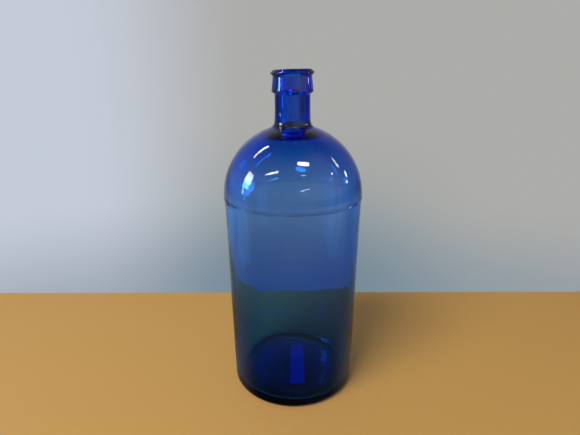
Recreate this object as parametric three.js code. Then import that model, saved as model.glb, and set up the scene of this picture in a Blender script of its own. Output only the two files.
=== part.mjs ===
// Antique cobalt glass stock bottle: a tapered body blown in a dip mould, a domed shoulder
// closed by two mould halves above it, and a finish of hot glass laid round the neck's end.
// Millimetres, +Z up. The origin is the centre of the foot ring, on the plane it rests on.

import * as THREE from 'three';

// ---- Driving dimensions ----

const FACETS = 48;                 // flats round every turned piece

const SHOULDER_RADIUS = 58;        // widest place, just above the mould's horizontal parting line
const PARTING_Z = 175.5;           // height of that parting line
const PARTING_STEP = 0.4;          // how far the dip mould's rim sits inside the shoulder halves
const HEEL_RADIUS = 54.9;          // body radius where the heel rounds into the wall
const FLARE_RADIUS = 56.8;         // body radius where the mould starts to open a little faster
const FLARE_Z = 139.5;
const HEEL_ROUND = 4.5;

const FOOT_INNER_RADIUS = 37;      // the foot ring is flat from here to the heel's rounding
const PUSH_UP = 5;                 // hollow under the base, at the centre
const BASE_TOP_Z = 13;             // plane that parts the thick base from the wall
const FLOOR_Z = 5.5;               // lowest ring of the floor inside
const FLOOR_CENTRE_Z = 12;         // the floor rises over the push-up
const FLOOR_CORNER_ROUND = 4.5;

const LOW_WALL = 4.6;              // wall thickness above the floor's corner
const SWELL_WALL = 5.4;            // the wall is thickest a little higher up
const SWELL_Z = 45;
const MIDDLE_WALL = 3.6;           // where the body starts to flare
const HIGH_WALL = 3.5;             // wall thickness just under the parting line
const DOME_CORE_DROP = 3;          // the dome's hollow is centred lower, so the glass thickens upwards
const CORE_STRAIGHT = 7;           // the hollow runs straight down this far below its dome
const CROWN_LIFT_DEG = 62;         // above this elevation the hollow's dome turns into a flat ceiling
const CROWN_ROUND = 17;            // rounding between the dome and that ceiling

const NECK_RADIUS = 14.2;
const NECK_FOOT_RADIUS = 14.5;
const NECK_FOOT_ROUND = 6.5;       // outer fillet between dome and neck
const BORE_RADIUS = 7;
const BORE_FOOT_ROUND = 4;         // glass rounding where the bore opens into the dome

const COLLAR_FOOT_Z = 256.5;       // laid-on band: its lower edge is chamfered
const COLLAR_CHAMFER = 2;
const COLLAR_LOW_RADIUS = 16.7;
const COLLAR_HIGH_RADIUS = 15.5;
const NECK_END_Z = 270;            // where the neck was cracked off, and the lip sits

const LIP_EDGE_RADIUS = 17.6;      // the lip's blunt V edge
const LIP_EDGE_Z = 272.6;
const LIP_TOP_RADIUS = 15;
const LIP_TOP_Z = 275.2;
const MOUTH_ROUND = 2;             // rounding from the lip's flat top into the bore
const LIP_SKEW_DEG = 1.3;          // the hand-tooled lip is higher on its +X side

const LABEL_WIDTH = 13;
const LABEL_LENGTH = 52;
const LABEL_CORNER = 2.5;
const LABEL_THICKNESS = 0.25;
const LABEL_GAP = 0.3;             // glue line between the paper and the glass above it
const LABEL_OFFSET_X = 2.8;
const LABEL_CELLS = [6, 24];       // grid cells across and along the label

const CAP_STEPS = 6;               // straight pieces along each arc of an outline
const ROUND_STEPS = 5;
const CROWN_STEPS = 4;
const DOME_STEPS = 14;

// ---- Materials ----

const cobaltGlass = new THREE.MeshStandardMaterial({
  color: 0x14357a, roughness: 0.05, metalness: 0, transparent: true, opacity: 0.45,
});
const labelPaper = new THREE.MeshStandardMaterial({ color: 0x9eb6f8, roughness: 0.9, metalness: 0 });

// ---- Outline helpers: every point is (radius, height) ----

const point = (radius, height) => new THREE.Vector2(radius, height);

function arc(centreRadius, centreHeight, round, fromDeg, toDeg, steps) {
  const points = [];
  for (let i = 0; i <= steps; i += 1) {
    const angle = THREE.MathUtils.degToRad(THREE.MathUtils.lerp(fromDeg, toDeg, i / steps));
    points.push(point(centreRadius + round * Math.cos(angle), centreHeight + round * Math.sin(angle)));
  }
  return points;
}

// Radius of the sphere that rises by this much over a rim of this radius.
const capRound = (rise, rimRadius) => (rimRadius ** 2 + rise ** 2) / (2 * rise);

// Shallow spherical cap over the axis, from the axis out to rimRadius.
function cap(centreHeight, rimHeight, rimRadius) {
  const round = capRound(centreHeight - rimHeight, rimRadius);
  const halfAngle = THREE.MathUtils.radToDeg(Math.asin(rimRadius / round));
  const points = arc(0, centreHeight - round, round, 90, 90 - halfAngle, CAP_STEPS);
  points[0].x = 0;
  return points;
}

const degreesOf = (rise, run) => THREE.MathUtils.radToDeg(Math.atan2(rise, run));

// ---- Shared profile values ----

const bodyTopRadius = SHOULDER_RADIUS - PARTING_STEP;

function bodyRadius(height) {
  if (height < FLARE_Z) {
    return THREE.MathUtils.mapLinear(height, HEEL_ROUND, FLARE_Z, HEEL_RADIUS, FLARE_RADIUS);
  }
  return THREE.MathUtils.mapLinear(height, FLARE_Z, PARTING_Z, FLARE_RADIUS, bodyTopRadius);
}

const cornerCentreZ = FLOOR_Z + FLOOR_CORNER_ROUND;
const cornerWallRadius = bodyRadius(cornerCentreZ) - LOW_WALL;
const floorRadius = cornerWallRadius - FLOOR_CORNER_ROUND;
const flareInnerRadius = FLARE_RADIUS - MIDDLE_WALL;
const swellInnerRadius = bodyRadius(SWELL_Z) - SWELL_WALL;
const baseTopInnerRadius = THREE.MathUtils.mapLinear(
  BASE_TOP_Z, cornerCentreZ, SWELL_Z, cornerWallRadius, swellInnerRadius,
);

const coreRadius = bodyTopRadius - HIGH_WALL;
const coreZ = PARTING_Z - DOME_CORE_DROP;
const coreStartAngle = THREE.MathUtils.radToDeg(Math.asin(DOME_CORE_DROP / coreRadius));

// ---- Sub-part outlines ----

function baseOutline() {
  const heelCentre = HEEL_RADIUS - HEEL_ROUND;
  return [
    ...cap(PUSH_UP, 0, FOOT_INNER_RADIUS),
    ...arc(heelCentre, HEEL_ROUND, HEEL_ROUND, -90, 0, ROUND_STEPS),
    point(bodyRadius(BASE_TOP_Z), BASE_TOP_Z),
    point(baseTopInnerRadius, BASE_TOP_Z),
    ...arc(floorRadius, cornerCentreZ, FLOOR_CORNER_ROUND, 0, -90, ROUND_STEPS),
    ...cap(FLOOR_CENTRE_Z, FLOOR_Z, floorRadius).reverse().slice(1),
  ];
}

function bodyOutline() {
  return [
    point(bodyRadius(BASE_TOP_Z), BASE_TOP_Z),
    point(FLARE_RADIUS, FLARE_Z),
    point(bodyTopRadius, PARTING_Z),
    ...arc(0, coreZ, coreRadius, coreStartAngle, 0, 1),
    point(coreRadius, coreZ - CORE_STRAIGHT),
    point(flareInnerRadius, FLARE_Z),
    point(swellInnerRadius, SWELL_Z),
    point(baseTopInnerRadius, BASE_TOP_Z),
    point(bodyRadius(BASE_TOP_Z), BASE_TOP_Z),
  ];
}

// The hollow's ceiling, from the foot of the bore out over the crown and down the dome.
function ceilingPoints() {
  const lift = THREE.MathUtils.degToRad(CROWN_LIFT_DEG);
  const crownRadius = (coreRadius - CROWN_ROUND) * Math.cos(lift);
  const crownZ = coreZ + (coreRadius - CROWN_ROUND) * Math.sin(lift);
  const boreFootZ = crownZ + CROWN_ROUND + BORE_FOOT_ROUND;
  return [
    ...arc(BORE_RADIUS + BORE_FOOT_ROUND, boreFootZ, BORE_FOOT_ROUND, 180, 270, ROUND_STEPS),
    ...arc(crownRadius, crownZ, CROWN_ROUND, 90, CROWN_LIFT_DEG, CROWN_STEPS),
    ...arc(0, coreZ, coreRadius, CROWN_LIFT_DEG, coreStartAngle, DOME_STEPS).slice(1),
  ];
}

function shoulderOutline() {
  const filletCentreRadius = NECK_FOOT_RADIUS + NECK_FOOT_ROUND;
  const filletRise = Math.sqrt((SHOULDER_RADIUS + NECK_FOOT_ROUND) ** 2 - filletCentreRadius ** 2);
  const filletAngle = degreesOf(filletRise, filletCentreRadius);
  const neckFootZ = PARTING_Z + filletRise;
  const fillet = arc(filletCentreRadius, neckFootZ, NECK_FOOT_ROUND, 180 + filletAngle, 180, ROUND_STEPS);
  return {
    neckFootZ,
    points: [
      ...arc(0, PARTING_Z, SHOULDER_RADIUS, 0, filletAngle, DOME_STEPS),
      ...fillet.slice(1),
      point(BORE_RADIUS, neckFootZ),
      ...ceilingPoints(),
      point(SHOULDER_RADIUS, PARTING_Z),
    ],
  };
}

function neckOutline(neckFootZ) {
  return [
    point(NECK_FOOT_RADIUS, neckFootZ),
    point(NECK_RADIUS, neckFootZ + NECK_FOOT_ROUND),
    point(NECK_RADIUS, NECK_END_Z),
    point(BORE_RADIUS, NECK_END_Z),
    point(BORE_RADIUS, neckFootZ),
    point(NECK_FOOT_RADIUS, neckFootZ),
  ];
}

function collarOutline() {
  return [
    point(NECK_RADIUS, COLLAR_FOOT_Z),
    point(COLLAR_LOW_RADIUS, COLLAR_FOOT_Z + COLLAR_CHAMFER),
    point(COLLAR_HIGH_RADIUS, NECK_END_Z),
    point(NECK_RADIUS, NECK_END_Z),
    point(NECK_RADIUS, COLLAR_FOOT_Z),
  ];
}

function lipOutline() {
  const mouthCentre = BORE_RADIUS + MOUTH_ROUND;
  return [
    point(COLLAR_HIGH_RADIUS, NECK_END_Z),
    point(LIP_EDGE_RADIUS, LIP_EDGE_Z),
    point(LIP_TOP_RADIUS, LIP_TOP_Z),
    ...arc(mouthCentre, LIP_TOP_Z - MOUTH_ROUND, MOUTH_ROUND, 90, 180, ROUND_STEPS),
    point(BORE_RADIUS, NECK_END_Z),
    point(COLLAR_HIGH_RADIUS, NECK_END_Z),
  ];
}

// ---- Building ----

// Turns an outline round the Z axis. Outlines run up the outside and down the inside.
function turned(name, outline, material) {
  const geometry = new THREE.LatheGeometry(outline, FACETS);
  geometry.rotateX(Math.PI / 2);
  const mesh = new THREE.Mesh(geometry, material);
  mesh.name = name;
  return mesh;
}

// Tilts what lies above the collar's foot, as a lip tooled slightly out of square.
function skewFinish(mesh) {
  const positions = mesh.geometry.attributes.position;
  const skew = Math.tan(THREE.MathUtils.degToRad(LIP_SKEW_DEG));
  const skewStartZ = COLLAR_FOOT_Z + COLLAR_CHAMFER;
  for (let i = 0; i < positions.count; i += 1) {
    const share = THREE.MathUtils.clamp((positions.getZ(i) - skewStartZ) / (NECK_END_Z - skewStartZ), 0, 1);
    positions.setZ(i, positions.getZ(i) + skew * share * positions.getX(i));
  }
  return mesh;
}

// Height of the push-up's surface under the base, above the resting plane.
function pushUpHeight(radius) {
  const round = capRound(PUSH_UP, FOOT_INNER_RADIUS);
  return Math.sqrt(round ** 2 - radius ** 2) - (round - PUSH_UP);
}

// Half the label's width at a distance along it from its middle: the corners are rounded.
function labelHalfWidth(along) {
  const past = Math.abs(along) - (LABEL_LENGTH / 2 - LABEL_CORNER);
  const inset = past > 0 ? LABEL_CORNER - Math.sqrt(LABEL_CORNER ** 2 - past ** 2) : 0;
  return LABEL_WIDTH / 2 - inset;
}

// A paper strip that follows the hollow of the push-up, with its long side along Y.
function baseLabel() {
  const [across, along] = LABEL_CELLS;
  const positions = [];
  const indices = [];
  for (const drop of [0, LABEL_THICKNESS]) {
    for (let j = 0; j <= along; j += 1) {
      const y = THREE.MathUtils.lerp(-LABEL_LENGTH / 2, LABEL_LENGTH / 2, j / along);
      const halfWidth = labelHalfWidth(y);
      for (let i = 0; i <= across; i += 1) {
        const x = LABEL_OFFSET_X + THREE.MathUtils.lerp(-halfWidth, halfWidth, i / across);
        positions.push(x, y, pushUpHeight(Math.hypot(x, y)) - LABEL_GAP - drop);
      }
    }
  }
  const row = across + 1;
  const layer = row * (along + 1);
  const quad = (a, b, c, d) => indices.push(a, b, c, a, c, d);
  for (let j = 0; j < along; j += 1) {
    for (let i = 0; i < across; i += 1) {
      const a = j * row + i;
      quad(a, a + 1, a + 1 + row, a + row);
      quad(layer + a, layer + a + row, layer + a + row + 1, layer + a + 1);
    }
    const left = j * row;
    const right = left + across;
    quad(left, left + row, left + row + layer, left + layer);
    quad(right + row, right, right + layer, right + row + layer);
  }
  for (let i = 0; i < across; i += 1) {
    const far = along * row + i;
    quad(i + 1, i, i + layer, i + 1 + layer);
    quad(far, far + 1, far + 1 + layer, far + layer);
  }
  const geometry = new THREE.BufferGeometry();
  geometry.setAttribute('position', new THREE.Float32BufferAttribute(positions, 3));
  geometry.setIndex(indices);
  const mesh = new THREE.Mesh(geometry, labelPaper);
  mesh.name = 'base_label';
  return mesh;
}

const shoulder = shoulderOutline();

const vessel = new THREE.Group();
vessel.add(turned('base', baseOutline(), cobaltGlass));
vessel.add(turned('body', bodyOutline(), cobaltGlass));
vessel.add(turned('shoulder', shoulder.points, cobaltGlass));
vessel.add(skewFinish(turned('neck', neckOutline(shoulder.neckFootZ), cobaltGlass)));

const finish = new THREE.Group();
finish.add(skewFinish(turned('collar', collarOutline(), cobaltGlass)));
finish.add(skewFinish(turned('lip', lipOutline(), cobaltGlass)));

const bottle = new THREE.Group();
bottle.add(vessel, finish, baseLabel());

export default bottle;
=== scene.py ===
# Antique cobalt glass stock bottle: the looks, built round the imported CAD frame.
# Metres, +Z up, the frame's own origin (centre of the foot ring) and axes.
# A bearing is an angle round the bottle, in degrees from its front (-Y) towards +X.
import math

import bpy
import numpy as np
from mathutils import Matrix, Vector


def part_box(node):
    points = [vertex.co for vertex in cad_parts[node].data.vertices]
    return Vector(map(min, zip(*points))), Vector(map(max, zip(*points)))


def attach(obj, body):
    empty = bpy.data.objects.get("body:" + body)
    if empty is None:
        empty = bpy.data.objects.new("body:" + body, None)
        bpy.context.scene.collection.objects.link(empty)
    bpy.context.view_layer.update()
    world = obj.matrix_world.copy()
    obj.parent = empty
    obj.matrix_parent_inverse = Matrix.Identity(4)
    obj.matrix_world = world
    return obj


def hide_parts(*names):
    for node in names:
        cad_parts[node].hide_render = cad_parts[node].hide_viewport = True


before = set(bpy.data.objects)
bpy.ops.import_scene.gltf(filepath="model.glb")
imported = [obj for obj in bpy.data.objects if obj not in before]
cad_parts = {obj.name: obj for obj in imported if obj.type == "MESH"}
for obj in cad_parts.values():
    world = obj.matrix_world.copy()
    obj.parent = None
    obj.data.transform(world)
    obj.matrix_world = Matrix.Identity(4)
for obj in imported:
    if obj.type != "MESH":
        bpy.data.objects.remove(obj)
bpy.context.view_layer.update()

MM = 0.001
AROUND = 288                      # mesh columns round the bottle

# ---- Driving sizes: the outer ones come from the frame ----

body_lo, body_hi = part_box("body")
shoulder_lo, shoulder_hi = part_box("shoulder")
neck_lo, neck_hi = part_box("neck")
collar_lo, collar_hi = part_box("collar")
lip_lo, lip_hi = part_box("lip")
label_lo, label_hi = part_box("base_label")

SHOULDER_R = shoulder_hi.x        # widest radius, at the mould's parting line
PARTING_Z = shoulder_lo.z
STEP_LOW_Z = PARTING_Z - 1.2 * MM     # the wall's outline ends here, and the parting step begins
STEP_HIGH_Z = PARTING_Z + 1.0 * MM    # the dome's outline begins here
BODY_TOP_R = body_hi.x
HEEL_R = 54.9 * MM
FLARE_R = 56.8 * MM
FLARE_Z = 139.5 * MM
HEEL_ROUND = 4.5 * MM
FOOT_INNER_R = 37 * MM
PUSH_UP = 5 * MM
FLOOR_Z = 5.5 * MM
FLOOR_CENTRE_Z = 12 * MM
FLOOR_CORNER = 4.5 * MM
LOW_WALL = 4.6 * MM
SWELL_WALL = 5.4 * MM             # the wall is thickest here
SWELL_Z = 45 * MM
MIDDLE_WALL = 3.6 * MM
HIGH_WALL = 3.5 * MM
CORE_R = BODY_TOP_R - HIGH_WALL   # the hollow's dome, a sphere a little below the outer one
CORE_Z = PARTING_Z - 3 * MM
CROWN_LIFT = 62                   # above this elevation, in degrees, the ceiling flattens
CROWN_ROUND = 17 * MM
NECK_FOOT_R = neck_hi.x
NECK_R = NECK_FOOT_R - 0.3 * MM
NECK_FOOT_ROUND = 6.5 * MM
NECK_FOOT_Z = shoulder_hi.z
BORE_R = 7 * MM
BORE_FOOT_ROUND = 4 * MM
COLLAR_FOOT_Z = 256.5 * MM
COLLAR_CHAMFER = 2 * MM
COLLAR_LOW_R = collar_hi.x
COLLAR_HIGH_R = 15.5 * MM
LIP_JOIN_Z = 270 * MM
LIP_EDGE_R = lip_hi.x
LIP_EDGE_Z = 272.6 * MM
LIP_TOP_R = 15 * MM
LIP_TOP_Z = 275.2 * MM
MOUTH_ROUND = 2.4 * MM
LIP_SKEW = math.tan(math.radians(1.3))


# ---- Camera: the photograph's viewing angle ----

CAMERA_DISTANCE = 6.122 * SHOULDER_R
CAMERA_HEIGHT = 4.738 * SHOULDER_R
CAMERA_PITCH = math.radians(18.78)
CAMERA_PAN = math.radians(0.41)
CAMERA_ROLL = math.radians(-0.33)
SENSOR_WIDTH = 36                 # millimetres, as is the lens
LENS = 27


def add_object(name, data):
    piece = bpy.data.objects.new(name, data)
    bpy.context.scene.collection.objects.link(piece)
    return piece


def make_camera():
    data = bpy.data.cameras.new("photo_camera")
    data.sensor_width = SENSOR_WIDTH
    data.lens = LENS
    data.clip_start = 0.01
    camera = add_object("photo_camera", data)
    place = Matrix.Translation((0, -CAMERA_DISTANCE, CAMERA_HEIGHT))
    tilt = Matrix.Rotation(math.pi / 2 - CAMERA_PITCH, 4, "X")
    camera.matrix_world = (place @ Matrix.Rotation(CAMERA_PAN, 4, "Z") @ tilt
                           @ Matrix.Rotation(CAMERA_ROLL, 4, "Z"))
    bpy.context.scene.camera = camera


# ---- Outline helpers: a path is a list of (radius, height) ----

CAP_STEP = 1.5 * MM               # distance between points on the shallow caps
DOME_STEP = 1.0 * MM
CORE_STEP = 1.2 * MM
CROWN_STEP = 0.8 * MM
FILLET_TURN = 12                  # most degrees that one point of a fillet turns


def arc(centre_r, centre_z, radius, start_deg, end_deg, step=0.5 * MM):
    """Points on an arc, no further apart than step and never fewer than 5 gaps."""
    sweep = math.radians(abs(end_deg - start_deg))
    count = max(5, math.ceil(radius * sweep / step))
    angles = np.radians(np.linspace(start_deg, end_deg, count + 1))
    return [(centre_r + radius * math.cos(a), centre_z + radius * math.sin(a)) for a in angles]


def cap(centre_z, rim_z, rim_r):
    """Shallow spherical cap over the axis, from the axis out to its rim."""
    rise = centre_z - rim_z
    radius = (rim_r ** 2 + rise ** 2) / (2 * rise)
    half = math.degrees(math.asin(rim_r / radius))
    return arc(0, centre_z - radius, radius, 90, 90 - half, CAP_STEP)


def rounded(corners, step=1.2 * MM):
    """Dense path through (radius, height, round) corners, each with its own fillet."""
    path = [np.array(corners[0][:2])]
    for i in range(1, len(corners) - 1):
        here = np.array(corners[i][:2])
        before = np.array(corners[i - 1][:2])
        after = np.array(corners[i + 1][:2])
        towards = (before - here) / np.linalg.norm(before - here)
        away = (after - here) / np.linalg.norm(after - here)
        half = math.acos(np.clip(np.dot(towards, away), -1, 1)) / 2
        reach = corners[i][2] / math.tan(half)
        start = here + towards * reach
        end = here + away * reach
        steps = max(3, math.ceil(math.degrees(math.pi - 2 * half) / FILLET_TURN))
        for t in np.linspace(0, 1, steps + 1):
            path.append(start * (1 - t) ** 2 + here * 2 * t * (1 - t) + end * t ** 2)
    path.append(np.array(corners[-1][:2]))
    dense = [path[0]]
    for a, b in zip(path, path[1:]):
        pieces = max(1, math.ceil(np.linalg.norm(b - a) / step))
        dense += [a + (b - a) * k / pieces for k in range(1, pieces + 1)]
    return [tuple(p) for p in dense]


def body_radius(z):
    if z < FLARE_Z:
        return HEEL_R + (FLARE_R - HEEL_R) * (z - HEEL_ROUND) / (FLARE_Z - HEEL_ROUND)
    return FLARE_R + (BODY_TOP_R - FLARE_R) * (z - FLARE_Z) / (PARTING_Z - FLARE_Z)


def joined(parts):
    """One path of several, each of which starts where the one before it ends."""
    path = list(parts[0])
    for part in parts[1:]:
        path += part[1:]
    return path


def dome_paths():
    """The outside of the dome, and the fillet from it up to the neck."""
    fillet_r = NECK_FOOT_R + NECK_FOOT_ROUND
    fillet_angle = math.degrees(math.atan2(NECK_FOOT_Z - PARTING_Z, fillet_r))
    start = math.degrees(math.asin((STEP_HIGH_Z - PARTING_Z) / SHOULDER_R))
    dome = arc(0, PARTING_Z, SHOULDER_R, start, fillet_angle, DOME_STEP)
    fillet = arc(fillet_r, NECK_FOOT_Z, NECK_FOOT_ROUND, 180 + fillet_angle, 180)
    return dome, fillet


def outer_path():
    """Up the outside: push-up, foot ring, heel, body, parting step, dome, neck, collar, lip top."""
    under = cap(PUSH_UP, 0, FOOT_INNER_R)
    heel_r = HEEL_R - HEEL_ROUND
    foot = rounded([(FOOT_INNER_R, 0), (heel_r, 0)])
    heel = arc(heel_r, HEEL_ROUND, HEEL_ROUND, -90, 0)
    wall = rounded([(HEEL_R, HEEL_ROUND), (FLARE_R, FLARE_Z, 400 * MM), (BODY_TOP_R, STEP_LOW_Z)])
    step = rounded([
        (BODY_TOP_R, STEP_LOW_Z), (BODY_TOP_R, PARTING_Z - 0.25 * MM, 0.08 * MM),
        (SHOULDER_R, PARTING_Z, 0.1 * MM), (SHOULDER_R, STEP_HIGH_Z)], 0.12 * MM)
    finish = rounded([
        (NECK_FOOT_R, NECK_FOOT_Z), (NECK_R, NECK_FOOT_Z + 7 * MM, 20 * MM),
        (NECK_R, COLLAR_FOOT_Z, 0.35 * MM), (COLLAR_LOW_R, COLLAR_FOOT_Z + COLLAR_CHAMFER, 0.8 * MM),
        (COLLAR_HIGH_R, LIP_JOIN_Z, 0.7 * MM), (LIP_EDGE_R, LIP_EDGE_Z, 0.45 * MM),
        (LIP_TOP_R, LIP_TOP_Z, 0.6 * MM), (BORE_R + MOUTH_ROUND, LIP_TOP_Z)], 0.6 * MM)
    return joined([under, foot, heel, wall, step, *dome_paths(), finish])


def ceiling_path():
    """The hollow's ceiling, from the foot of the bore out and down to the wall."""
    lift = math.radians(CROWN_LIFT)
    reach = CORE_R - CROWN_ROUND
    crown_r = reach * math.cos(lift)
    crown_z = CORE_Z + reach * math.sin(lift)
    top = crown_z + CROWN_ROUND
    bore_foot = arc(BORE_R + BORE_FOOT_ROUND, top + BORE_FOOT_ROUND, BORE_FOOT_ROUND, 180, 270)
    flat = rounded([bore_foot[-1], (crown_r, top)])
    crown = arc(crown_r, crown_z, CROWN_ROUND, 90, CROWN_LIFT, CROWN_STEP)
    dome = arc(0, CORE_Z, CORE_R, CROWN_LIFT, 0, CORE_STEP)
    return joined([bore_foot, flat, crown, dome])


def inner_path():
    """Down the inside: mouth, bore, dome, wall, floor corner, floor, to the axis."""
    mouth = arc(BORE_R + MOUTH_ROUND, LIP_TOP_Z - MOUTH_ROUND, MOUTH_ROUND, 90, 180, 0.4 * MM)
    ceiling = ceiling_path()
    bore = rounded([mouth[-1], ceiling[0]])
    corner_z = FLOOR_Z + FLOOR_CORNER
    wall_r = body_radius(corner_z) - LOW_WALL
    wall_round = 300 * MM
    wall = rounded([
        ceiling[-1], (CORE_R, PARTING_Z - 10 * MM, wall_round),
        (FLARE_R - MIDDLE_WALL, FLARE_Z, wall_round),
        (body_radius(SWELL_Z) - SWELL_WALL, SWELL_Z, wall_round), (wall_r, corner_z)])
    floor_r = wall_r - FLOOR_CORNER
    corner = arc(floor_r, corner_z, FLOOR_CORNER, 0, -90, 0.8 * MM)
    floor = list(reversed(cap(FLOOR_CENTRE_Z, FLOOR_Z, floor_r)))
    return joined([mouth, bore, ceiling, wall, corner, floor])[1:]


# ---- Hand-made unevenness ----

# Layers of ripple: how many waves, the longest, the shortest, and their random seed.
SLOW_OUTSIDE = (10, 140 * MM, 60 * MM, 11)
FINE_OUTSIDE = (26, 16 * MM, 7 * MM, 12)
PARTING_WAVER = (12, 60 * MM, 8 * MM, 13)
SLOW_INSIDE = (8, 200 * MM, 90 * MM, 21)
FINE_INSIDE = (22, 30 * MM, 14 * MM, 22)

# Flaws of the parting line: bearing, then height over the line, width, tallness and depth in mm.
# The first two are the chip at the front left.
SEAM_FLAWS = (
    (-62, -1.2, 2.2, 0.8, -1.0),
    (-57, -2.2, 2.2, 0.7, -0.9),
    (-21, -0.9, 3.2, 0.5, -0.5),
    (14, -0.9, 3.6, 0.5, -0.5),
    (40, -0.6, 5.0, 0.4, -0.12),
    (118, -0.8, 4.0, 0.5, -0.3),
    (-138, -0.7, 3.0, 0.5, -0.35),
)
BACK_SHARE = 0.22                 # how much of the parting line shows at the back


def ripple(theta, along, waves, longest, shortest, seed):
    """Smooth noise about 1 high over angle and path length, periodic round the bottle."""
    local = np.random.default_rng(seed)
    total = np.zeros_like(theta)
    for _ in range(waves):
        length = shortest * (longest / shortest) ** local.random()
        heading = local.random() * 2 * math.pi
        turns = round(2 * math.pi * SHOULDER_R / length * math.cos(heading))
        total += np.cos(turns * theta + 2 * math.pi / length * math.sin(heading) * along
                        + local.random() * 2 * math.pi)
    return total * math.sqrt(2 / waves)


def bell(values, centre, width):
    return np.exp(-((values - centre) / width) ** 2)


def angle_gap(theta, bearing):
    """Signed angle, in radians, from a bearing to each theta."""
    gap = theta - math.radians(bearing)
    return (gap + math.pi) % (2 * math.pi) - math.pi


def parting_line(theta, z, along):
    """A ridge over a groove, both wavering, with the flaws that the mould left in them."""
    ridge = 0.16 * bell(z, PARTING_Z + 0.3 * MM, 0.45 * MM)
    ridge -= 0.30 * bell(z, PARTING_Z - 0.7 * MM, 0.4 * MM)
    front = BACK_SHARE + (1 - BACK_SHARE) * np.clip((np.cos(theta) + 0.25) / 0.4, 0, 1)
    line = front * ridge * MM * (1 + 0.5 * ripple(theta, 0 * along, *PARTING_WAVER))
    for bearing, height, width, tall, depth in SEAM_FLAWS:
        across = angle_gap(theta, bearing) * SHOULDER_R
        line += depth * MM * bell(across, 0, width * MM) * bell(z, PARTING_Z + height * MM, tall * MM)
    return line


def mould_seams(theta, r, z):
    """The faint upright seams where the two halves of the shoulder's mould met."""
    right = bell(angle_gap(theta, 90) * r, 0, 0.5 * MM)
    left = bell(angle_gap(theta, -90) * r, 0, 0.5 * MM)
    above = np.clip((z - PARTING_Z) / (3 * MM), 0, 1) * np.clip((NECK_FOOT_Z - z) / (12 * MM), 0, 1)
    return (right + left) * above * 0.12 * MM


def outer_offset(theta, r, z, along):
    """How far the outside stands proud of its outline, in metres."""
    calm = np.clip((z - 2 * MM) / (8 * MM), 0, 1)
    offset = calm * 0.10 * MM * ripple(theta, along, *SLOW_OUTSIDE)
    offset += calm * 0.008 * MM * ripple(theta, along, *FINE_OUTSIDE)
    return offset + parting_line(theta, z, along) + mould_seams(theta, r, z)


def inner_offset(theta, r, z, along):
    """How far the hollow's wall stands into the glass, in metres."""
    fade = np.clip((r - 3 * MM) / (20 * MM), 0, 1)
    offset = fade * 0.22 * MM * ripple(theta, along, *SLOW_INSIDE)
    return offset + fade * 0.010 * MM * ripple(theta, along, *FINE_INSIDE)


def skew_finish(points):
    """Tilts what lies above the collar's foot, as a lip tooled slightly out of square."""
    share = np.clip((points[..., 2] - COLLAR_FOOT_Z) / (LIP_JOIN_Z - COLLAR_FOOT_Z), 0, 1)
    points[..., 2] += LIP_SKEW * share * points[..., 0]
    return points


def surface_grid(path, offset_of):
    """Rows of points round the axis for a path, pushed along their normals by offset_of."""
    path = np.array(path)
    ahead = np.vstack([path[1:], path[-1:]])
    behind = np.vstack([path[:1], path[:-1]])
    tangent = ahead - behind
    tangent /= np.linalg.norm(tangent, axis=1)[:, None]
    normal = np.column_stack([tangent[:, 1], -tangent[:, 0]])
    along = np.cumsum(np.linalg.norm(path - behind, axis=1))
    theta = np.linspace(0, 2 * math.pi, AROUND, endpoint=False)
    grid_theta, grid_along = np.meshgrid(theta, along)
    r = np.repeat(path[:, :1], AROUND, axis=1)
    z = np.repeat(path[:, 1:], AROUND, axis=1)
    push = offset_of(grid_theta, r, z, grid_along)
    r = r + push * normal[:, :1]
    z = z + push * normal[:, 1:]
    points = np.stack([r * np.sin(grid_theta), -r * np.cos(grid_theta), z], axis=-1)
    return skew_finish(points)


# ---- Shader graphs ----

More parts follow.
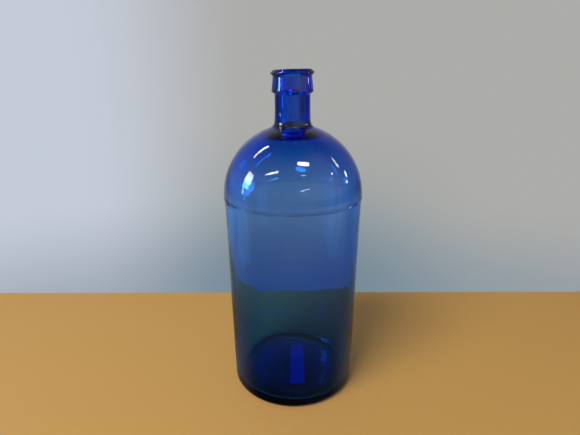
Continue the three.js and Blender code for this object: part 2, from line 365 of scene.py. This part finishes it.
class Graph:
    """Short ways to add shader nodes. A value is an output, a number or a colour."""

    def __init__(self, tree):
        self.nodes = tree.nodes
        self.links = tree.links

    def feed(self, socket, value):
        """Links an output to a socket, or sets the socket to a number or a colour."""
        if isinstance(value, bpy.types.NodeSocket):
            self.links.new(value, socket)
        elif isinstance(value, tuple):
            socket.default_value = (*value, 1)
        else:
            socket.default_value = value

    def add(self, kind, **values):
        """A node of a kind, with values for its inputs; _ in an input's name is a space."""
        node = self.nodes.new("ShaderNode" + kind)
        for name, value in values.items():
            self.feed(node.inputs[name.replace("_", " ")], value)
        return node

    def coordinates(self, kind):
        """The named coordinates, and their x, y and z."""
        place = self.add("TexCoord").outputs[kind]
        return place, *self.add("SeparateXYZ", Vector=place).outputs

    def math(self, operation, *values):
        node = self.add("Math")
        node.operation = operation
        for socket, value in zip(node.inputs, values):
            self.feed(socket, value)
        return node.outputs[0]

    def times(self, one, other):
        return self.math("MULTIPLY", one, other)

    def ramp(self, value, low, high, out_low=0.0, out_high=1.0):
        """Eases from out_low to out_high as the value goes from low to high."""
        node = self.add("MapRange", From_Min=low, From_Max=high, To_Min=out_low, To_Max=out_high)
        node.interpolation_type = "SMOOTHSTEP"
        self.links.new(value, node.inputs["Value"])
        return node.outputs["Result"]

    def mix(self, factor, low, high, blend="MIX"):
        node = self.add("Mix")
        node.data_type = "RGBA"
        node.blend_type = blend
        self.feed(node.inputs["Factor"], factor)
        self.feed(node.inputs[6], low)
        self.feed(node.inputs[7], high)
        return node.outputs[2]

    def tint(self, colour, *tints):
        """A colour multiplied by each of the tints."""
        for one in tints:
            colour = self.mix(1, colour, one, "MULTIPLY")
        return colour

    def noise(self, place, scale, detail, roughness=0.5):
        node = self.add("TexNoise", Vector=place, Scale=scale, Detail=detail, Roughness=roughness)
        return node.outputs["Fac"]

    def specks(self, place, scale, radius, share):
        """Round specks on a jittered grid: 1 inside a speck, and only a share of the cells has one."""
        cells = self.add("TexVoronoi", Vector=place, Scale=scale)
        inside = self.ramp(cells.outputs["Distance"], radius, 0.4 * radius)
        pick = self.add("SeparateXYZ", Vector=cells.outputs["Color"])
        return self.times(inside, self.math("LESS_THAN", pick.outputs[0], share))

    def bump(self, height, distance):
        return self.add("Bump", Height=height, Distance=distance).outputs["Normal"]


def new_material(name):
    """A material, its graph, its Principled shader and its output node."""
    material = bpy.data.materials.new(name)
    material.use_nodes = True
    graph = Graph(material.node_tree)
    return material, graph, graph.nodes["Principled BSDF"], graph.nodes["Material Output"]


def add_mesh(name, verts, faces, material, smooth=False):
    """A mesh object of one material."""
    mesh = bpy.data.meshes.new(name)
    mesh.from_pydata(verts, [], faces)
    mesh.polygons.foreach_set("use_smooth", [smooth] * len(mesh.polygons))
    mesh.update()
    mesh.materials.append(material)
    return add_object(name, mesh)


# ---- Glass ----

GLASS_IOR = 1.52
COBALT = (0.065, 0.622, 0.933)    # what the glass lets through, at the density below
COBALT_DENSITY = 450
FILM = 0.030                      # most of the glass that the dust film hides
SPECK_COVER = 0.22                # how much of the glass a dust speck hides
SHINE = 0.005                     # roughness of clean glass
GLASS_BUMP = 0.018 * MM

BUBBLES = 70
BUBBLE_SEED = 1874
BUBBLE_RINGS = 6
BUBBLE_SIDES = 10


def bubble_shell(centre, radii):
    """A seed in the glass: points and inward-facing faces of a small closed ellipsoid."""
    points = [centre + Vector((0, 0, radii[2]))]
    for i in range(1, BUBBLE_RINGS):
        lat = math.pi * i / BUBBLE_RINGS
        for j in range(BUBBLE_SIDES):
            lon = 2 * math.pi * j / BUBBLE_SIDES
            points.append(centre + Vector((radii[0] * math.sin(lat) * math.cos(lon),
                                           radii[1] * math.sin(lat) * math.sin(lon),
                                           radii[2] * math.cos(lat))))
    points.append(centre - Vector((0, 0, radii[2])))
    last = len(points) - 1
    faces = []
    for j in range(BUBBLE_SIDES):
        k = (j + 1) % BUBBLE_SIDES
        faces.append((0, 1 + k, 1 + j))
        faces.append((last, last - BUBBLE_SIDES + j, last - BUBBLE_SIDES + k))
        for i in range(BUBBLE_RINGS - 2):
            a = 1 + i * BUBBLE_SIDES
            faces.append((a + j, a + k, a + BUBBLE_SIDES + k, a + BUBBLE_SIDES + j))
    return points, faces


def add_bubbles(verts, faces):
    """Scatters the small air bubbles of hand-gathered glass, in turn through wall and shoulder."""
    rng = np.random.default_rng(BUBBLE_SEED)
    for i in range(BUBBLES):
        bearing = rng.random() * 2 * math.pi
        depth = 0.3 + 0.4 * rng.random()
        size = (0.16 + 0.34 * rng.random() ** 2) * MM
        if i % 2:
            lift = math.radians(4 + 52 * rng.random())
            radius = CORE_R + (SHOULDER_R - CORE_R) * depth
            r = radius * math.cos(lift)
            z = CORE_Z + (PARTING_Z - CORE_Z) * depth + radius * math.sin(lift)
        else:
            z = (24 + 145 * rng.random()) * MM
            r = body_radius(z) - MIDDLE_WALL * depth
        centre = Vector((r * math.sin(bearing), -r * math.cos(bearing), z))
        points, shell = bubble_shell(centre, (size, size, size * (1.1 + 0.9 * rng.random())))
        start = len(verts)
        verts.extend([tuple(p) for p in points])
        faces.extend([tuple(start + v for v in face) for face in shell])


def glass_skin():
    """The whole glass as one closed skin: up the outside, over the lip and down the inside."""
    outer = surface_grid(outer_path()[1:], outer_offset)
    inner = surface_grid(inner_path()[:-1], inner_offset)
    rows = np.concatenate([outer, inner])
    verts = rows.reshape(-1, 3).tolist()
    faces = []
    for i in range(len(rows) - 1):
        low = i * AROUND
        high = low + AROUND
        for j in range(AROUND):
            k = (j + 1) % AROUND
            faces.append((low + j, low + k, high + k, high + j))
    under = len(verts)
    verts.append((0, 0, PUSH_UP))
    verts.append((0, 0, FLOOR_CENTRE_Z))
    last_row = under - AROUND
    for j in range(AROUND):
        k = (j + 1) % AROUND
        faces.append((under, k, j))
        faces.append((under + 1, last_row + j, last_row + k))
    return verts, faces


def outside_only(graph, x, y, z):
    """1 on the outside of body and dome, 0 on the walls of the hollow."""
    above = graph.math("MAXIMUM", graph.math("SUBTRACT", z, PARTING_Z), 0.0)
    length = graph.add("VectorMath")
    length.operation = "LENGTH"
    graph.links.new(graph.add("CombineXYZ", X=x, Y=y, Z=above).outputs[0], length.inputs[0])
    return graph.ramp(length.outputs["Value"], 54.7 * MM, 55.1 * MM)


def glass_film(graph, place, x, y, z):
    """Share of the glass that a thin film of dust and dried wipe marks hides."""
    band = graph.times(graph.ramp(z, 35 * MM, 180 * MM), graph.ramp(z, 224 * MM, 172 * MM))
    band = graph.times(band, outside_only(graph, x, y, z))
    clouds = graph.ramp(graph.noise(place, 30, 5, 0.6), 0.30, 0.72, 0.80, 1.25)
    film = graph.times(graph.times(band, clouds), FILM)
    specks = graph.times(graph.specks(place, 240, 0.10, 0.25), SPECK_COVER)
    return graph.math("ADD", film, specks)


def glass_material():
    """Cobalt glass: even absorption, hand-made ripple in the bump, dust film and specks."""
    material, graph, shader, output = new_material("cobalt_glass")
    place, x, y, z = graph.coordinates("Object")
    film = glass_film(graph, place, x, y, z)
    shader.inputs["Base Color"].default_value = (1, 1, 1, 1)
    shader.inputs["IOR"].default_value = GLASS_IOR
    graph.feed(shader.inputs["Transmission Weight"], graph.math("SUBTRACT", 1.0, film))
    streaks = graph.ramp(graph.noise(place, 55, 4), 0.35, 0.75, 0.0, 0.02)
    rough = graph.math("ADD", graph.times(film, 0.25), streaks)
    graph.feed(shader.inputs["Roughness"], graph.math("ADD", rough, SHINE))
    graph.feed(shader.inputs["Normal"], graph.bump(graph.noise(place, 330, 3), GLASS_BUMP))
    absorption = graph.add("VolumeAbsorption", Color=COBALT, Density=COBALT_DENSITY)
    graph.feed(output.inputs["Volume"], absorption.outputs["Volume"])
    return material


def make_bottle():
    verts, faces = glass_skin()
    add_bubbles(verts, faces)
    bottle = add_mesh("bottle_glass", verts, faces, glass_material(), smooth=True)
    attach(bottle, "root")
    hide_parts("base", "body", "shoulder", "neck", "collar", "lip")


# ---- Label ----

LABEL_CORNER = 2.5 * MM
LABEL_GAP = 0.35 * MM             # glue line between the paper and the glass above it
LABEL_THICK = 0.2 * MM
LABEL_CELLS = (20, 72)            # mesh cells across and along
LABEL_FRAY = 0.12 * MM
LABEL_FRAY_SEED = 52
PAPER = ((0.30, 0.42, 0.93), (0.38, 0.50, 0.95))
FOXING = (0.30, 0.25, 0.30)
PAPER_BUMP = 0.04 * MM


def label_material():
    """Pale blue gummed paper: mottled, foxed with small spots, with a faint fibre bump."""
    material, graph, shader, _ = new_material("label_paper")
    place = graph.coordinates("Object")[0]
    paper = graph.mix(graph.ramp(graph.noise(place, 140, 4), 0.35, 0.70), *PAPER)
    spots = graph.times(graph.specks(place, 210, 0.16, 0.30), 0.5)
    graph.feed(shader.inputs["Base Color"], graph.mix(spots, paper, FOXING))
    fibres = graph.noise(place, 2600, 3, 0.7)
    graph.feed(shader.inputs["Roughness"], graph.ramp(fibres, 0.3, 0.7, 0.78, 0.95))
    graph.feed(shader.inputs["Normal"], graph.bump(fibres, PAPER_BUMP))
    return material


def label_points():
    """Two layers of points that follow the hollow under the base, slightly cockled and frayed."""
    middle = (label_lo + label_hi) / 2
    half_x = (label_hi.x - label_lo.x) / 2
    half_y = (label_hi.y - label_lo.y) / 2
    sphere_r = (FOOT_INNER_R ** 2 + PUSH_UP ** 2) / (2 * PUSH_UP)
    across, along = LABEL_CELLS
    verts = []
    for layer in (0, 1):
        for j in range(along + 1):
            y = half_y * (2 * j / along - 1)
            past = max(0.0, abs(y) - (half_y - LABEL_CORNER))
            inset = LABEL_CORNER - math.sqrt(LABEL_CORNER ** 2 - past ** 2)
            for i in range(across + 1):
                u = 2 * i / across - 1
                x = middle.x + u * (half_x - inset)
                hollow = math.sqrt(sphere_r ** 2 - x ** 2 - y ** 2) - (sphere_r - PUSH_UP)
                cockle = 0.05 * MM * math.sin(y / (5 * MM)) * (0.5 + 0.5 * u)
                cockle += 0.02 * MM * math.sin(x / MM)
                verts.append((x, y, hollow - LABEL_GAP - layer * LABEL_THICK + cockle))
    frayed = LABEL_FRAY * (np.random.default_rng(LABEL_FRAY_SEED).random(len(verts)) - 0.5)
    row = across + 1
    sheet = row * (along + 1)
    for j in range(along + 1):
        for edge in (j * row, j * row + across):
            for v in (edge, sheet + edge):
                x, y, z = verts[v]
                verts[v] = (x + frayed[edge], y, z)
    return verts


def label_faces():
    """Both sides of the paper, its two long edges and its two ends."""
    across, along = LABEL_CELLS
    row = across + 1
    sheet = row * (along + 1)
    faces = []
    for j in range(along):
        for i in range(across):
            a = j * row + i
            faces.append((a, a + 1, a + row + 1, a + row))
            faces.append((sheet + a, sheet + a + row, sheet + a + row + 1, sheet + a + 1))
        left = j * row
        right = left + across
        faces.append((left, left + row, left + row + sheet, left + sheet))
        faces.append((right + row, right, right + sheet, right + row + sheet))
    for i in range(across):
        far = along * row + i
        faces.append((i + 1, i, i + sheet, i + 1 + sheet))
        faces.append((far, far + 1, far + 1 + sheet, far + sheet))
    return faces


def make_label():
    """The paper strip under the base, with worn corners."""
    label = add_mesh("paper_label", label_points(), label_faces(), label_material())
    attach(label, "root")
    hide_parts("base_label")


# ---- Stage: floor ----

TABLE_FAR = 2.59 * SHOULDER_R     # the far edge lies a hand's width behind the bottle
TABLE_NEAR = -1.6
TABLE_SIDE = 1.8
TABLE_THICK = 0.03
TABLE_COLOUR = (0.58, 0.315, 0.075)
TABLE_ROUGHNESS = 0.6


def make_floor():
    """A plain pale table top. The mirrored room has its own colour for it."""
    corners = ((-TABLE_SIDE, TABLE_NEAR), (TABLE_SIDE, TABLE_NEAR),
               (TABLE_SIDE, TABLE_FAR), (-TABLE_SIDE, TABLE_FAR))
    verts = [(x, y, z) for z in (0, -TABLE_THICK) for x, y in corners]
    faces = [(0, 1, 2, 3), (4, 7, 6, 5), (0, 4, 5, 1), (1, 5, 6, 2), (2, 6, 7, 3), (3, 7, 4, 0)]
    material, graph, shader, _ = new_material("pale_floor")
    graph.feed(shader.inputs["Base Color"], TABLE_COLOUR)
    graph.feed(shader.inputs["Roughness"], TABLE_ROUGHNESS)
    floor = add_mesh("floor", verts, faces, material)
    floor.visible_glossy = False


# ---- Stage: the room, a sky of directions (across towards +X, depth towards +Y, up) ----

def grey(value):
    return (value, value, value)


WHITE = grey(1)
WALL = ((0.415, 0.415, 0.40), (0.56, 0.60, 0.69))       # behind the bottle, and to its left
# painted shade: the wall's colour near its foot
SHADED_LOW_WALL_COLOUR = ((0.28, 0.33, 0.37), (0.35, 0.40, 0.47))
BOTTLE_SHADOW_TINT = (0.62, 0.76, 0.84)    # painted shadow of the bottle: it darkens and blues the wall low down behind it
CEILING_TINT = grey(0.15)
PLAIN_FRONT = (0.42, 0.42, 0.41)      # the room in front of the bottle, except where mirrored

# Brightness of the mirrored room in front, by the sine of the elevation looked at.
FRONT_ROOM = (
    (-0.60, 0.03), (-0.45, 0.17), (-0.395, 0.28), (-0.33, 0.50), (-0.20, 0.45), (-0.12, 0.28),
    (-0.04, 0.25), (0.06, 0.38), (0.19, 0.47), (0.42, 0.47), (0.64, 0.35), (0.82, 0.35),
    (0.93, 0.20), (1.0, 0.02),
)
FRONT_TINT = (0.96, 0.99, 1.04)
FRONT_SIDES = (grey(0.9), grey(1.7))  # its left and its right
MIRRORED_RIM = (0.46, 0.55, 0.66)     # tint of the mirrored wall far to each side
MIRRORED_TABLE = (0.20, 0.13, 0.06)
MIRRORED_LEVEL = grey(0.5)            # tint of what lies level and far to each side

LEFT_THROUGH = (1.2, 2.2, 1.7)        # tints of the room's sides, seen through the glass
RIGHT_THROUGH = (1.0, 1.4, 1.15)
LEVEL_THROUGH = grey(0.35)
ONTO_MATT = grey(4.0)                 # gain of what the room sends through the glass onto matt things


def grey_profile(graph, value, stops):
    """A ramp of greys over values from -1 to 1."""
    spread = graph.add("MapRange", From_Min=-1, Value=value)
    node = graph.add("ValToRGB", Fac=spread.outputs["Result"])
    elements = node.color_ramp.elements
    while len(elements) < len(stops):
        elements.new(0.5)
    for element, (place, level) in zip(elements, stops):
        element.position = (place + 1) / 2
        element.color = (*[level * tint for tint in FRONT_TINT], 1)
    return node.outputs["Color"]


def wall_behind(graph, across, up):
    """The pale wall: brighter to the left, darker low down by painted shade, and darker and bluer low
    behind the bottle by a painted shadow of it.
    """
    left = graph.ramp(across, -0.08, -0.45)
    # painted shade: the wall darkens towards its foot
    low = graph.ramp(up, -0.25, -0.47)
    wall = graph.mix(low, graph.mix(left, *WALL), graph.mix(left, *SHADED_LOW_WALL_COLOUR))
    # painted shadow of the bottle: a soft dark, blue patch low on the wall behind it
    beside = graph.times(graph.ramp(across, -0.42, -0.05), graph.ramp(across, 0.44, 0.07))
    behind = graph.times(beside, graph.ramp(up, -0.10, -0.45))
    return graph.tint(wall, graph.mix(behind, WHITE, BOTTLE_SHADOW_TINT))


def mirrored_room(graph, across, up, at_back, level, wall):
    """The room as the glass mirrors it: a tuned front, and behind it the wall and the table."""
    sideways = graph.math("ABSOLUTE", across)
    to_right = graph.ramp(across, -0.3, 0.7)
    front = graph.tint(grey_profile(graph, up, FRONT_ROOM), graph.mix(to_right, *FRONT_SIDES))
    back = graph.tint(wall, graph.mix(graph.ramp(sideways, 0.20, 0.60), WHITE, MIRRORED_RIM))
    back = graph.mix(graph.ramp(up, -0.46, -0.50), back, MIRRORED_TABLE)
    level_far = graph.times(level, graph.ramp(sideways, 0.50, 0.72))
    return graph.tint(graph.mix(at_back, front, back), graph.mix(level_far, WHITE, MIRRORED_LEVEL))


def room_through_glass(graph, across, up, level, bounces, room):
    """The room as rays through the glass meet it: tinted sides, more light onto matt things."""
    left = graph.ramp(across, -0.58, -0.80)
    right = graph.ramp(across, 0.58, 0.80)
    from_above = graph.times(graph.ramp(bounces, 0.2, 0.8), graph.ramp(up, -0.1, 0.2))
    level_far = graph.times(level, graph.ramp(graph.math("ABSOLUTE", across), 0.30, 0.60))
    return graph.tint(
        room, graph.mix(left, WHITE, LEFT_THROUGH), graph.mix(right, WHITE, RIGHT_THROUGH),
        graph.mix(from_above, WHITE, ONTO_MATT), graph.mix(level_far, WHITE, LEVEL_THROUGH))


def make_world():
    """Soft grey room, with its own looks for mirrored rays and for rays through the glass."""
    world = bpy.data.worlds.new("soft_room")
    bpy.context.scene.world = world
    world.use_nodes = True
    graph = Graph(world.node_tree)
    _, across, depth, up = graph.coordinates("Generated")
    path = graph.add("LightPath").outputs
    at_back = graph.ramp(depth, -0.25, 0.3)
    level = graph.times(graph.ramp(up, -0.20, -0.12), graph.ramp(up, 0.04, -0.02))
    ceiling = graph.mix(graph.ramp(up, 0.55, 0.92), WHITE, CEILING_TINT)
    wall = wall_behind(graph, across, up)
    seen = graph.tint(graph.mix(at_back, PLAIN_FRONT, wall), ceiling)
    shiny = mirrored_room(graph, across, up, at_back, level, graph.tint(wall, ceiling))
    through = room_through_glass(graph, across, up, level, path["Diffuse Depth"], seen)
    room = graph.mix(path["Is Transmission Ray"], seen, through)
    mirrored = graph.times(path["Is Glossy Ray"], path["Is Reflection Ray"])
    background = graph.nodes["Background"]
    graph.feed(background.inputs["Color"], graph.mix(mirrored, room, shiny))
    background.inputs["Strength"].default_value = 1


# ---- Stage: lamps ----

CEILING = 1.4                     # height of the ceiling lamps above the parting line
ROOM_REACH = 1.6                  # how far off the upright lamps stand
CARD_REACH = 0.24
NECK_CARD_REACH = 0.12
NECK_CARD_WIDTH = 0.03
SOFT_SHEETS = 6                   # nested sheets that fade out a card's edges
INNER_SHEET = 0.55                # height of the innermost sheet, as a share of the card's
WARM = (1.0, 0.93, 0.80)
PALE_SKY = (0.70, 0.95, 1.0)
LOW_SKY = (0.22, 0.74, 1.0)
SILL_SKY = (0.40, 0.82, 1.0)


def add_panel(name, centre, size, radiance, facing, soft=False, tint=WHITE, shiny=True):
    """A flat rectangular lamp that faces a point. Soft ones only light matt things; the others
    are only seen in the glass, by reflection too if they are shiny."""
    data = bpy.data.lights.new(name, "AREA")
    data.shape = "RECTANGLE"
    data.size, data.size_y = size
    data.energy = radiance * math.pi * size[0] * size[1]
    data.color = tint
    lamp = add_object(name, data)
    lamp.location = centre
    lamp.rotation_mode = "QUATERNION"
    lamp.rotation_quaternion = (Vector(facing) - Vector(centre)).to_track_quat("-Z", "Y")
    lamp.visible_camera = False
    lamp.visible_glossy = shiny and not soft
    lamp.visible_transmission = not soft
    lamp.visible_diffuse = soft


def ceiling_lamp(name, x_range, y_range, radiance, tint=WHITE):
    """A lamp flat in the ceiling, its place in multiples of the ceiling height."""
    top = PARTING_Z + CEILING
    centre = (CEILING * sum(x_range) / 2, CEILING * sum(y_range) / 2, top)
    size = (CEILING * (x_range[1] - x_range[0]), CEILING * (y_range[1] - y_range[0]))
    add_panel(name, centre, size, radiance, (centre[0], centre[1], 0), tint=tint)


def side_lamp(name, bearing_deg, lifts_deg, width, radiance, reach=ROOM_REACH, **options):
    """An upright lamp at a bearing, between two elevations seen from the parting line."""
    low, high = [reach * math.tan(math.radians(lift)) for lift in lifts_deg]
    bearing = math.radians(bearing_deg)
    height = PARTING_Z + (low + high) / 2
    centre = (reach * math.sin(bearing), -reach * math.cos(bearing), height)
    add_panel(name, centre, (width, high - low), radiance, (0, 0, height), **options)


def soft_card(name, bearing_deg, lifts_deg, width, radiance):
    """A card beside the bottle, seen only through its glass and faint at its edges."""
    low, high = lifts_deg
    middle = (low + high) / 2
    for i in range(SOFT_SHEETS):
        spread = (i + 1) / SOFT_SHEETS
        half = (high - low) / 2 * (INNER_SHEET + (1 - INNER_SHEET) * spread)
        lifts = (middle - half, middle + half)
        side_lamp(name, bearing_deg, lifts, width * spread, radiance, CARD_REACH, shiny=False)


def neck_card(name, bearing_deg, height, tall, radiance):
    """A small card close beside the neck, seen only through its glass."""
    bearing = math.radians(bearing_deg)
    centre = (NECK_CARD_REACH * math.sin(bearing), -NECK_CARD_REACH * math.cos(bearing), height)
    add_panel(name, centre, (NECK_CARD_WIDTH, tall), radiance, (0, 0, height), shiny=False)


def make_lights():
    ceiling_lamp("tube_far_left", (-1.15, -0.51), (0.25, 0.33), 20, WARM)
    ceiling_lamp("tube_near_left", (-1.11, -0.49), (-0.85, -0.77), 22)
    ceiling_lamp("tube_far_right", (1.14, 1.87), (0.26, 0.34), 16, WARM)
    ceiling_lamp("ceiling_panel", (0.13, 0.44), (-0.58, -0.44), 30)
    side_lamp("window_top", -82, (25, 29), 0.42, 14, tint=WARM)
    side_lamp("window", -82, (16, 25), 0.46, 20, tint=PALE_SKY)
    side_lamp("window_sill", -83, (9, 16), 0.40, 17, tint=LOW_SKY)
    side_lamp("window_foot", -86, (0.5, 9), 0.12, 9, tint=SILL_SKY)
    soft_card("left_card", -85, (-34, 20), 0.115, 1.05)
    soft_card("right_card", 68, (-30, 14), 0.092, 1.10)
    neck_card("neck_card", -112, 0.247, 0.022, 1.5)
    side_lamp("right_pane", 78, (29.0, 31.5), 0.06, 25)
    side_lamp("right_gap", 105, (14, 20), 0.10, 22, tint=WARM)
    side_lamp("right_slot", 100, (8.5, 12), 0.06, 20)
    side_lamp("front_strip", 20, (42.0, 43.2), 0.30, 12)
    side_lamp("front_slot", 20, (19.5, 21.0), 0.45, 9)
    add_panel("soft_key", (-0.75, -0.95, 1.45), (1.0, 1.0), 9.3, (0, 0, 0), soft=True)


# ---- Picture settings ----

def set_render_quality():
    """Colour and light-path settings only; engine, samples and size are not set here."""
    scene = bpy.context.scene
    scene.view_settings.view_transform = "Standard"
    scene.cycles.use_denoising = True
    scene.cycles.max_bounces = 24
    scene.cycles.transmission_bounces = 20
    scene.cycles.glossy_bounces = 8
    scene.cycles.diffuse_bounces = 4


make_camera()
make_bottle()
make_label()
make_floor()
make_world()
make_lights()
set_render_quality()
